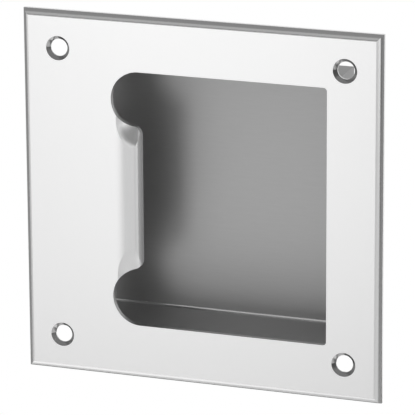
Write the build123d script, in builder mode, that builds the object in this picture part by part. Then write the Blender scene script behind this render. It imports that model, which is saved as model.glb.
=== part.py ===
import os
from math import cos, radians, sin, tan

from build123d import *

# Flush pull of satin stainless steel for a door, in millimetres. A square face plate is pressed from
# sheet, with its rim turned down to the door and a finger lip left standing in its opening. A box folded
# from thinner sheet closes the recess, and its flanges are spot-welded to the back of the face plate.
# X runs across the face, Y into the door and Z up. The origin is the middle of the four screw holes, on
# the back of the face sheet.

# Face plate
plate_size = 101.6
face_sheet = 1.5
rim_inner_radius = 0.3

# Countersunk screw holes
hole_inset = 10.3
hole_bore = 4.8
hole_head = 6.7
hole_angle = 82

# Opening, measured in from the edges of the plate
border = 15.2
lip_border = 25.4
lobe_radius = 7.9
opening_corner_radius = 1.0

# Finger lip: the tongue between the two lobes. It leans in a little, its free edge is turned back, and the
# corner beside each lobe is pressed into a shallow dish.
lip_reach = 7.9
lip_root_radius = 30
lip_lean = 7
lip_turn_inner_radius = 0.3
lip_depth = 3.2
lip_corner_radius = 2.5
lip_dish_shift = 6.0
lip_dish_bend_radius = 11
lip_dish_slope = 16

# Recess box
box_sheet = 1.0
box_inside_depth = 18.5
box_bend_radius = 0.6
box_reveal = 0.3
box_room_behind_lip = 7.6
flange_width = 5.0
flange_end_gap = 6.0

# Sizes that follow from the ones above
half_plate = plate_size / 2
hole_spacing = plate_size - 2 * hole_inset
rim_outer_radius = rim_inner_radius + face_sheet
rim_drop = box_sheet
pressed_size = plate_size - 2 * face_sheet

opening_left = -half_plate + lip_border
opening_right = half_plate - border
opening_top = half_plate - border
lobe_x = opening_left + lobe_radius
lobe_z = opening_top - lobe_radius

lip_turn_radius = lip_turn_inner_radius + face_sheet
lip_turn_centre_x = opening_left + lip_reach - lip_turn_radius
lip_end_y = lip_depth - face_sheet
lean_run = cos(radians(lip_lean))
lean_fall = sin(radians(lip_lean))

box_left = opening_left - box_room_behind_lip
box_right = opening_right + box_reveal
box_top = opening_top + box_reveal
box_width = box_right - box_left
box_middle_x = (box_left + box_right) / 2
box_outer_radius = box_bend_radius + box_sheet

# Outlines across the face are drawn on planes that look out of the door
back_of_face = Plane.XZ
door_face = Plane.XZ.offset(-rim_drop)
front_of_face = Plane.XZ.offset(face_sheet)


# What lies behind a surface of the finger lip, with that surface so far below the front of the sheet: its
# front at 0 and its back at one sheet's thickness. The section is drawn from above and run from lobe to
# lobe. Each dish has the lobe's radius and place, moved towards the middle of the lip.
def behind_lip(below_front):
    with BuildPart() as form:
        with BuildSketch(Plane.XY):
            with BuildLine():
                root = JernArc(
                    (opening_left, below_front - face_sheet), (1, 0), lip_root_radius - below_front, lip_lean
                )
                turn_radius = lip_turn_radius - below_front
                flat_run = lip_turn_centre_x + turn_radius * lean_fall - (root @ 1).X
                flat = PolarLine(root @ 1, flat_run, lip_lean, length_mode=LengthMode.HORIZONTAL)
                turn = JernArc(flat @ 1, flat % 1, turn_radius, 90 - lip_lean)
                Polyline(turn @ 1, ((turn @ 1).X, lip_end_y), (opening_left, lip_end_y), root @ 0)
            make_face()
        extrude(amount=lobe_z)
        dish_y = (flat @ 1).Y + (lobe_x - (flat @ 1).X) * lean_fall / lean_run
        across_dish = Plane(
            (lobe_x, dish_y, lobe_z - lip_dish_shift), x_dir=(-lean_run, -lean_fall, 0), z_dir=(0, 0, 1)
        )
        with BuildSketch(across_dish):
            with BuildLine():
                bend = JernArc((lobe_radius, 0), (-1, 0), lip_dish_bend_radius - below_front, lip_dish_slope)
                dish_floor = (bend @ 1).Y - (bend @ 1).X * tan(radians(lip_dish_slope))
                Polyline(bend @ 1, (0, dish_floor), (0, lip_depth), (lobe_radius, lip_depth), bend @ 0)
            make_face()
        revolve(axis=Axis(across_dish.origin, across_dish.y_dir), mode=Mode.SUBTRACT)
        mirror(about=Plane.XY)
    return form.part


with BuildPart() as finger_lip:
    add(behind_lip(0))
    add(behind_lip(face_sheet), mode=Mode.SUBTRACT)
    with BuildSketch(back_of_face) as lip_outline:
        with Locations((opening_left, 0)):
            Rectangle(lip_reach, 2 * lobe_z, align=(Align.MIN, Align.CENTER))
        with Locations((lobe_x, lobe_z), (lobe_x, -lobe_z)):
            Circle(lobe_radius, mode=Mode.SUBTRACT)
        fillet(lip_outline.vertices().group_by(Axis.X)[-1], lip_corner_radius)
    extrude(amount=lip_depth, both=True, mode=Mode.INTERSECT)

with BuildPart() as face_plate:
    with BuildSketch(door_face):
        Rectangle(plate_size, plate_size)
    extrude(amount=rim_drop + face_sheet)
    fillet(face_plate.edges().group_by(Axis.Y)[0], rim_outer_radius)
    with BuildSketch(door_face):
        Rectangle(pressed_size, pressed_size)
    extrude(amount=rim_drop, mode=Mode.SUBTRACT)
    pressed_corner = face_plate.faces().filter_by(Plane.XZ).sort_by(Axis.Y)[1].outer_wire()
    fillet(pressed_corner.edges(), rim_inner_radius)
    with BuildSketch(back_of_face):
        with Locations((opening_right, 0)):
            Rectangle(opening_right - lobe_x, 2 * opening_top, align=(Align.MAX, Align.CENTER))
        with Locations((opening_left, 0)):
            Rectangle(lobe_radius, 2 * lobe_z, align=(Align.MIN, Align.CENTER))
        with Locations((lobe_x, lobe_z), (lobe_x, -lobe_z)):
            Circle(lobe_radius)
    extrude(amount=face_sheet, mode=Mode.SUBTRACT)
    opening_corners = face_plate.edges().filter_by(Axis.Y).filter_by_position(
        Axis.X, opening_right, opening_right
    )
    fillet(opening_corners, opening_corner_radius)
    with Locations(front_of_face):
        with GridLocations(hole_spacing, hole_spacing, 2, 2):
            CounterSinkHole(hole_bore / 2, hole_head / 2, counter_sink_angle=hole_angle)
    add(finger_lip.part)

# Each flange is drawn at the middle of its wall, outwards and into the door, from the flange's free end
# round the bend and down to where the wall goes on.
with BuildPart() as recess_box:
    with BuildSketch(back_of_face):
        with Locations((box_middle_x, 0)):
            Rectangle(box_width + 2 * box_sheet, 2 * (box_top + box_sheet))
    extrude(amount=-(box_inside_depth + box_sheet))
    fillet(recess_box.edges().group_by(Axis.Y)[-1], box_outer_radius)
    with BuildSketch(back_of_face):
        with Locations((box_middle_x, 0)):
            Rectangle(box_width, 2 * box_top)
    extrude(amount=-box_inside_depth, mode=Mode.SUBTRACT)
    inner_back = recess_box.faces().filter_by(Plane.XZ).sort_by(Axis.Y)[-2].outer_wire()
    fillet(inner_back.edges(), box_bend_radius)
    for wall_middle, outwards, along, wall_length in (
        ((box_right, 0, 0), (1, 0, 0), (0, 0, 1), 2 * box_top),
        ((box_left, 0, 0), (-1, 0, 0), (0, 0, -1), 2 * box_top),
        ((box_middle_x, 0, box_top), (0, 0, 1), (-1, 0, 0), box_width),
        ((box_middle_x, 0, -box_top), (0, 0, -1), (1, 0, 0), box_width),
    ):
        wall = Plane(wall_middle, x_dir=outwards, z_dir=along)
        flange_half_length = wall_length / 2 - flange_end_gap
        with BuildSketch(wall):
            Rectangle(box_sheet, box_outer_radius, align=Align.MIN)
        extrude(amount=flange_half_length, both=True, mode=Mode.SUBTRACT)
        with BuildSketch(wall):
            with BuildLine():
                flat = Line((box_sheet + flange_width, 0), (box_outer_radius, 0))
                JernArc(flat @ 1, flat % 1, box_outer_radius, -90)
                offset(amount=box_sheet, side=Side.RIGHT)
            make_face()
        extrude(amount=flange_half_length, both=True)

face_plate.part.label = "face_plate"
recess_box.part.label = "recess_box"

os.makedirs("parts", exist_ok=True)
export_step(face_plate.part, "parts/face_plate.step")
export_step(recess_box.part, "parts/recess_box.step")
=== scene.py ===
from math import cos, pi, radians, sin

import bpy
from mathutils import Matrix, Vector


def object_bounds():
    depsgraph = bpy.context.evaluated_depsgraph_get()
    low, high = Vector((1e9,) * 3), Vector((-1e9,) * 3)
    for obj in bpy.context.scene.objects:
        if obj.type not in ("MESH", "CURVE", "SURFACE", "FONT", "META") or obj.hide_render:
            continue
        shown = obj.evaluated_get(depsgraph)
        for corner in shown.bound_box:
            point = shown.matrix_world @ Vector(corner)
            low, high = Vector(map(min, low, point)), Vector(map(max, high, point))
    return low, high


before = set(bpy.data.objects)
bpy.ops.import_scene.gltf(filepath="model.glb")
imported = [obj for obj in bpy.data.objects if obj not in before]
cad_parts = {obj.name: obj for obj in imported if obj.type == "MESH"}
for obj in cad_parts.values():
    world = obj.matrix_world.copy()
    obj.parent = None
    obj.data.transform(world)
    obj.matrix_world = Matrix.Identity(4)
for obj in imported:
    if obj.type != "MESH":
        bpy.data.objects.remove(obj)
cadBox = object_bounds()
print("frame loaded:", ", ".join(sorted(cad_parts)))

mm = 0.001


def linearColour(hexColour):
    values = [int(hexColour[i:i + 2], 16) / 255 for i in (1, 3, 5)]
    return [v / 12.92 if v <= 0.04045 else ((v + 0.055) / 1.055) ** 2.4 for v in values] + [1.0]


white = linearColour("#FFFFFF")


# links maps an input of the new node to the output that feeds it
def addNode(tree, kind, settings=None, values=None, links=None):
    node = tree.nodes.new("ShaderNode" + kind)
    for name, value in (settings or {}).items():
        setattr(node, name, value)
    for name, value in (values or {}).items():
        node.inputs[name].default_value = value
    for name, output in (links or {}).items():
        tree.links.new(output, node.inputs[name])
    return node


# A Mix node has sockets of the same name for numbers and for colours, so they go by number
numberA, numberB, colourA, colourB, mixedColour = 2, 3, 6, 7, 2


def newMaterial(name):
    material = bpy.data.materials.new(name)
    material.use_nodes = True
    material.node_tree.nodes.clear()
    return material, material.node_tree


# Each screw hole's cone lies in a ball that is set in front of the hole and misses the back of the plate.
# centre is how far the ball's middle lies from each plane through the origin, the same at all four holes.
countersink ={"centre": (40.5 * mm, 3.46 * mm, 40.5 * mm), "radius": 3.92 * mm}


# 1 on the machined cones of the four screw holes
def countersinkMask(tree, place):
    corner = addNode(tree, "VectorMath", {"operation": "ABSOLUTE"}, links={0: place})
    reach = addNode(
        tree, "VectorMath", {"operation": "DISTANCE"}, values={1: countersink["centre"]},
        links={0: corner.outputs["Vector"]},
    )
    mask = addNode(
        tree, "Math", {"operation": "LESS_THAN"}, values={1: countersink["radius"]},
        links={0: reach.outputs["Value"]},
    )
    return mask.outputs["Value"]


# The narrow strip along the finger lip's edge, where it is turned back into the recess
lipEdge = {"middle": (-17.8 * mm, 0, 0), "halfWidth": 0.36 * mm, "halfLength": 21 * mm}


# 1 on the lip's turned edge
def lipEdgeMask(tree, place):
    offset = addNode(
        tree, "VectorMath", {"operation": "SUBTRACT"}, values={1: lipEdge["middle"]}, links={0: place}
    )
    away = addNode(tree, "VectorMath", {"operation": "ABSOLUTE"}, links={0: offset.outputs["Vector"]})
    parts = addNode(tree, "SeparateXYZ", links={0: away.outputs["Vector"]})
    across = addNode(
        tree, "Math", {"operation": "LESS_THAN"}, values={1: lipEdge["halfWidth"]},
        links={0: parts.outputs["X"]},
    )
    along = addNode(
        tree, "Math", {"operation": "LESS_THAN"}, values={1: lipEdge["halfLength"]},
        links={0: parts.outputs["Z"]},
    )
    mask = addNode(
        tree, "Math", {"operation": "MINIMUM"}, links={0: across.outputs["Value"], 1: along.outputs["Value"]}
    )
    return mask.outputs["Value"]


# The box's folds start this far from its middle. Their inner face is nearer to that than radius, and their
# outer face is further out.
fold ={"middle": (1.45 * mm, 0, 0), "start": (33.85 * mm, 17.9 * mm, 35.3 * mm), "radius": 1 * mm}


# 1 on the inside of the folds between the box's back and its walls, where a point lies past the flat of
# the back and past the flat of a wall at once
def foldMask(tree, place):
    centred = addNode(
        tree, "VectorMath", {"operation": "SUBTRACT"}, values={1: fold["middle"]}, links={0: place}
    )
    corner = addNode(tree, "VectorMath", {"operation": "ABSOLUTE"}, links={0: centred.outputs["Vector"]})
    past = addNode(
        tree, "VectorMath", {"operation": "SUBTRACT"}, values={1: fold["start"]},
        links={0: corner.outputs["Vector"]},
    )
    bent = addNode(
        tree, "VectorMath", {"operation": "MAXIMUM"}, values={1: (0, 0, 0)}, links={0: past.outputs["Vector"]}
    )
    parts = addNode(tree, "SeparateXYZ", links={0: bent.outputs["Vector"]})
    side = addNode(
        tree, "Math", {"operation": "MAXIMUM"}, links={0: parts.outputs["X"], 1: parts.outputs["Z"]}
    )
    both = addNode(
        tree, "Math", {"operation": "MULTIPLY"}, links={0: side.outputs["Value"], 1: parts.outputs["Y"]}
    )
    turned = addNode(
        tree, "Math", {"operation": "GREATER_THAN"}, values={1: 0}, links={0: both.outputs["Value"]}
    )
    reach = addNode(tree, "VectorMath", {"operation": "LENGTH"}, links={0: bent.outputs["Vector"]})
    inner = addNode(
        tree, "Math", {"operation": "LESS_THAN"}, values={1: fold["radius"]},
        links={0: reach.outputs["Value"]},
    )
    mask = addNode(
        tree, "Math", {"operation": "MULTIPLY"}, links={0: turned.outputs["Value"], 1: inner.outputs["Value"]}
    )
    return mask.outputs["Value"]


# Stainless steel with a satin finish: rubbed one way with fine grit, so it is nearly as bright as what it
# faces, with no sharp reflection and a faint upright grain. The drill leaves the screw holes' cones smoother,
# and a darker colour is painted on them as shade. The rubbing leaves the lip's turned edge dull.
satinSteel = {
    "colour": "#EFEFEF",
    "streakColour": "#E9E9E9",
    "roughness": 0.22,
    "roughnessSpread": 0.03,
    "grainSize": (0.35 * mm, 0.35 * mm, 12 * mm),     # real grit lines are finer; these just show
    "grainHeight": 0.003 * mm,
    "grainAxis": "Z",
    "glossSpread": 0.0,
    # painted shade: a darker colour on the screw holes' cones, standing in for the shade that falls in them
    "paintedLightColour": "#CCCCCC",
    "smoothRoughness": 0.14,
    "edgeRoughness": 0.75,
}

# The same steel as it leaves the mill, rolled from side to side: duller than the rubbed face, with a greyer
# colour that is partly the mill finish and partly painted shade of the recess. Inside its folds it is pressed
# smoother, and a brighter colour is painted on there as a highlight.
millSteel = {
    # partly the mill finish's grey, partly painted shade of the recess
    "colour": "#C9C9C9",
    "streakColour": "#C1C1C1",
    "roughness": 0.48,
    "roughnessSpread": 0.03,
    "grainSize": (6 * mm, 0.6 * mm, 0.6 * mm),     # rolling lines, also coarser than real
    "grainHeight": 0.003 * mm,
    "grainAxis": "X",
    "glossSpread": 0.35,
    # painted highlight: a brighter colour inside the folds, standing in for the light they catch
    "paintedLightColour": "#F4F4F4",
    "smoothRoughness": 0.18,
}
grainPattern = {"Scale": 1.0, "Detail": 3.0, "Roughness": 0.6}     # a scale of 1, as grainSize sets the size


# The first mask marks what a tool has pressed or cut to a finer finish, where the roughness drops and a
# painted colour is laid on (painted shade on the screw holes' cones, a painted highlight in the box's folds),
# and edgeMask marks an edge that stays dull
def steelMaterial(name, steel, smoothAndPaintedLightMask, edgeMask=None):
    material, tree = newMaterial(name)
    place = addNode(tree, "TexCoord").outputs["Object"]
    smoothAndPaintedLight = smoothAndPaintedLightMask(tree, place)
    stretch = tuple(1 / size for size in steel["grainSize"])
    along = addNode(tree, "Mapping", values={"Scale": stretch}, links={"Vector": place})
    grain = addNode(tree, "TexNoise", values=grainPattern, links={"Vector": along.outputs["Vector"]})
    tint = addNode(
        tree, "Mix", {"data_type": "RGBA"},
        values={colourA: linearColour(steel["streakColour"]), colourB: linearColour(steel["colour"])},
        links={"Factor": grain.outputs["Fac"]},
    )
    # painted light: on the masked parts the base colour turns to painted shade in the screw holes' cones and
    # to a painted highlight in the box's folds
    shown = addNode(
        tree, "Mix", {"data_type": "RGBA"}, values={colourB: linearColour(steel["paintedLightColour"])},
        links={"Factor": smoothAndPaintedLight, colourA: tint.outputs[mixedColour]},
    )
    rubbed = addNode(
        tree, "MapRange",
        values={
            "To Min": steel["roughness"] - steel["roughnessSpread"],
            "To Max": steel["roughness"] + steel["roughnessSpread"],
        },
        links={"Value": grain.outputs["Fac"]},
    )
    finish = addNode(
        tree, "Mix", values={numberB: steel["smoothRoughness"]},
        links={"Factor": smoothAndPaintedLight, numberA: rubbed.outputs["Result"]},
    )
    if edgeMask:
        finish = addNode(
            tree, "Mix", values={numberB: steel["edgeRoughness"]},
            links={"Factor": edgeMask(tree, place), numberA: finish.outputs["Result"]},
        )
    relief = addNode(
        tree, "Bump", values={"Strength": 1.0, "Distance": steel["grainHeight"]},
        links={"Height": grain.outputs["Fac"]},
    )
    # a reflection spreads across the grain
    across = addNode(tree, "Tangent", {"direction_type": "RADIAL", "axis": steel["grainAxis"]})
    shader = addNode(
        tree, "BsdfPrincipled", values={"Metallic": 1.0, "Anisotropic": steel["glossSpread"]},
        links={
            "Base Color": shown.outputs[mixedColour],
            "Roughness": finish.outputs["Result"],
            "Normal": relief.outputs["Normal"],
            "Tangent": across.outputs["Tangent"],
        },
    )
    addNode(tree, "OutputMaterial", links={"Surface": shader.outputs["BSDF"]})
    return material


def dressNode(node, material):
    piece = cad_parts[node]
    piece.data.materials.clear()
    piece.data.materials.append(material)


dressNode("face_plate", steelMaterial("satinStainlessSteel", satinSteel, countersinkMask, lipEdgeMask))
dressNode("recess_box", steelMaterial("millStainlessSteel", millSteel, foldMask))
print("steel dressed")

# The pull hangs free, as on its door, half a metre above a pale floor and in front of a white backdrop.
# Round the pool's centre the floor is lit and shaded by the lamps, and past its radius it is plain white.
floor = {
    "drop": 0.50, "size": 12.0, "colour": "#F0F0F0",
    "glow": 0.34, "poolCentre": (0, -1.0, 0), "poolRadius": 2.2, "fade": 0.4,
}
backdrop = {"back": 1.6, "width": 2.2, "height": 1.6}
floorLevel = cadBox[0].z - floor["drop"]


# White to what looks at it, at a strength of 1, and plain matt white to the light that falls on it
def backdropMaterial(name):
    material, tree = newMaterial(name)
    ray = addNode(tree, "LightPath")
    seen = addNode(
        tree, "Math", {"operation": "MAXIMUM"},
        links={0: ray.outputs["Is Camera Ray"], 1: ray.outputs["Is Glossy Ray"]},
    )
    looked = addNode(
        tree, "Math", {"operation": "MAXIMUM"},
        links={0: seen.outputs["Value"], 1: ray.outputs["Is Transmission Ray"]},
    )
    matt = addNode(tree, "BsdfDiffuse", values={"Color": linearColour(floor["colour"])})
    bright = addNode(tree, "Emission", values={"Color": white, "Strength": 1.0})
    return material, tree, looked.outputs["Value"], matt.outputs["BSDF"], bright.outputs["Emission"]


def paleFloor():
    bpy.ops.object.select_all(action="DESELECT")
    bpy.ops.mesh.primitive_plane_add(size=floor["size"], location=(0, 0, floorLevel))
    ground = bpy.context.object
    ground.name = "floor"
    material, tree, looked, matt, bright = backdropMaterial("paleFloor")
    place = addNode(tree, "TexCoord")
    offset = addNode(
        tree, "VectorMath", {"operation": "DISTANCE"}, values={1: floor["poolCentre"]},
        links={0: place.outputs["Object"]},
    )
    far = addNode(
        tree, "MapRange", {"interpolation_type": "SMOOTHSTEP"},
        values={"From Min": floor["poolRadius"] - floor["fade"], "From Max": floor["poolRadius"]},
        links={"Value": offset.outputs["Value"]},
    )
    glow = addNode(tree, "Emission", values={"Color": white, "Strength": floor["glow"]})
    near = addNode(tree, "AddShader", links={0: matt, 1: glow.outputs["Emission"]})
    shown = addNode(tree, "MixShader", links={0: far.outputs["Result"], 1: near.outputs["Shader"], 2: bright})
    both = addNode(tree, "MixShader", links={0: looked, 1: matt, 2: shown.outputs["Shader"]})
    addNode(tree, "OutputMaterial", links={"Surface": both.outputs["Shader"]})
    ground.data.materials.append(material)


def whiteBackdrop():
    bpy.ops.object.select_all(action="DESELECT")
    middle = (0, backdrop["back"], floorLevel + backdrop["height"] / 2)
    bpy.ops.mesh.primitive_plane_add(size=1, location=middle, rotation=(pi / 2, 0, 0))
    sheet = bpy.context.object
    sheet.name = "backdrop"
    sheet.scale = (backdrop["width"], backdrop["height"], 1)
    material, tree, looked, matt, bright = backdropMaterial("whiteBackdrop")
    both = addNode(tree, "MixShader", links={0: looked, 1: matt, 2: bright})
    addNode(tree, "OutputMaterial", links={"Surface": both.outputs["Shader"]})
    sheet.data.materials.append(material)


paleFloor()
whiteBackdrop()

# Lamps and cards face the pull, each so many degrees round to the right of straight in front, so many above
# it and so many metres away. size is a width and a height, and level is the face's brightness, where 1 is
# white.
panels = {
    "frontPanel": {"azimuth": -20, "elevation": -9, "distance": 1.5, "size": (0.42, 0.60), "level": 0.57},
    "rightPanel": {"azimuth": 41, "elevation": 14, "distance": 1.4, "size": (0.80, 1.0), "level": 1.35},
    "topPanel": {"azimuth": -20, "elevation": 36, "distance": 1.4, "size": (1.2, 0.9), "level": 0.20},
}
# The left and right cards keep the bright floor out of the turned-down rim, the near card darkens one side
# of the screw holes' cones, the bounce card lights the recess and the lower rim from below, and the back card
# draws the dark line under the rim.
cards = {
    "leftCard": {"azimuth": -100, "elevation": 0, "distance": 1.2, "size": (2.2, 1.3), "level": 0.28},
    "rightCard": {"azimuth": 102, "elevation": 5, "distance": 1.2, "size": (2.2, 1.3), "level": 0.26},
    "nearCard": {"azimuth": 80, "elevation": 10, "distance": 1.0, "size": (0.22, 1.1), "level": 0.10},
    "bounceCard": {"azimuth": -42, "elevation": -46, "distance": 0.62, "size": (0.45, 0.30), "level": 1.1},
    "backCard": {"azimuth": 185, "elevation": -50, "distance": 0.60, "size": (1.4, 0.55), "level": 0.06},
}


def placeAndTurn(item):
    turn, lift = radians(item["azimuth"]), radians(item["elevation"])
    outwards = Vector((sin(turn) * cos(lift), -cos(turn) * cos(lift), sin(lift)))
    return item["distance"] * outwards, outwards.to_track_quat("Z", "Y").to_euler()


def softPanel(name, panel):
    lamp = bpy.data.lights.new(name, "AREA")
    lamp.shape = "RECTANGLE"
    lamp.size, lamp.size_y = panel["size"]
    lamp.energy = panel["level"] * pi * lamp.size * lamp.size_y
    holder = bpy.data.objects.new(name, lamp)
    holder.location, holder.rotation_euler = placeAndTurn(panel)
    bpy.context.scene.collection.objects.link(holder)


# The camera doesn't see a card, and it casts no shadow
def studioCard(name, card):
    bpy.ops.object.select_all(action="DESELECT")
    place, turn = placeAndTurn(card)
    bpy.ops.mesh.primitive_plane_add(size=1, location=place, rotation=turn)
    sheet = bpy.context.object
    sheet.name = name
    sheet.scale = (*card["size"], 1)
    sheet.visible_camera = False
    sheet.visible_shadow = False
    material, tree = newMaterial(name)
    face = addNode(tree, "Emission", values={"Color": white, "Strength": card["level"]})
    addNode(tree, "OutputMaterial", links={"Surface": face.outputs["Emission"]})
    sheet.data.materials.append(material)


for name, panel in panels.items():
    softPanel(name, panel)
for name, card in cards.items():
    studioCard(name, card)

# To the steel and the floor the room is dim, and to the camera it is white
room = {"level": 0.27, "cameraLevel": 1.0}


def dimRoom():
    world = bpy.data.worlds.new("dimRoom")
    bpy.context.scene.world = world
    world.use_nodes = True
    tree = world.node_tree
    tree.nodes.clear()
    ray = addNode(tree, "LightPath")
    level = addNode(
        tree, "MapRange", values={"To Min": room["level"], "To Max": room["cameraLevel"]},
        links={"Value": ray.outputs["Is Camera Ray"]},
    )
    walls = addNode(tree, "Background", values={"Color": white}, links={"Strength": level.outputs["Result"]})
    addNode(tree, "OutputWorld", links={"Surface": walls.outputs["Background"]})


dimRoom()
print("studio lit")

# The photograph's viewpoint: to the right of the pull and above it, from about a metre away
camera = {
    "azimuth": 19.82, "elevation": 16.25, "roll": -0.32, "distance": 0.951,
    "aim": Vector((1.54, 0, -0.63)) * mm, "lens": 307.0, "sensor": 36, "clip": (0.05, 50),
}


def photoCamera():
    turn, lift, roll = (radians(camera[angle]) for angle in ("azimuth", "elevation", "roll"))
    look = Vector((-sin(turn) * cos(lift), cos(turn) * cos(lift), -sin(lift)))
    level = Vector((cos(turn), sin(turn), 0))
    upright = level.cross(look)
    right = cos(roll) * level + sin(roll) * upright
    up = -sin(roll) * level + cos(roll) * upright
    data = bpy.data.cameras.new("photoCamera")
    data.sensor_width = camera["sensor"]
    data.lens = camera["lens"]
    data.clip_start, data.clip_end = camera["clip"]
    holder = bpy.data.objects.new("photoCamera", data)
    eye = camera["aim"] - camera["distance"] * look
    holder.matrix_world = Matrix.Translation(eye) @ Matrix((right, up, -look)).transposed().to_4x4()
    bpy.context.scene.collection.objects.link(holder)
    bpy.context.scene.camera = holder


photoCamera()
bpy.context.scene.view_settings.view_transform = "Standard"
print("camera set")
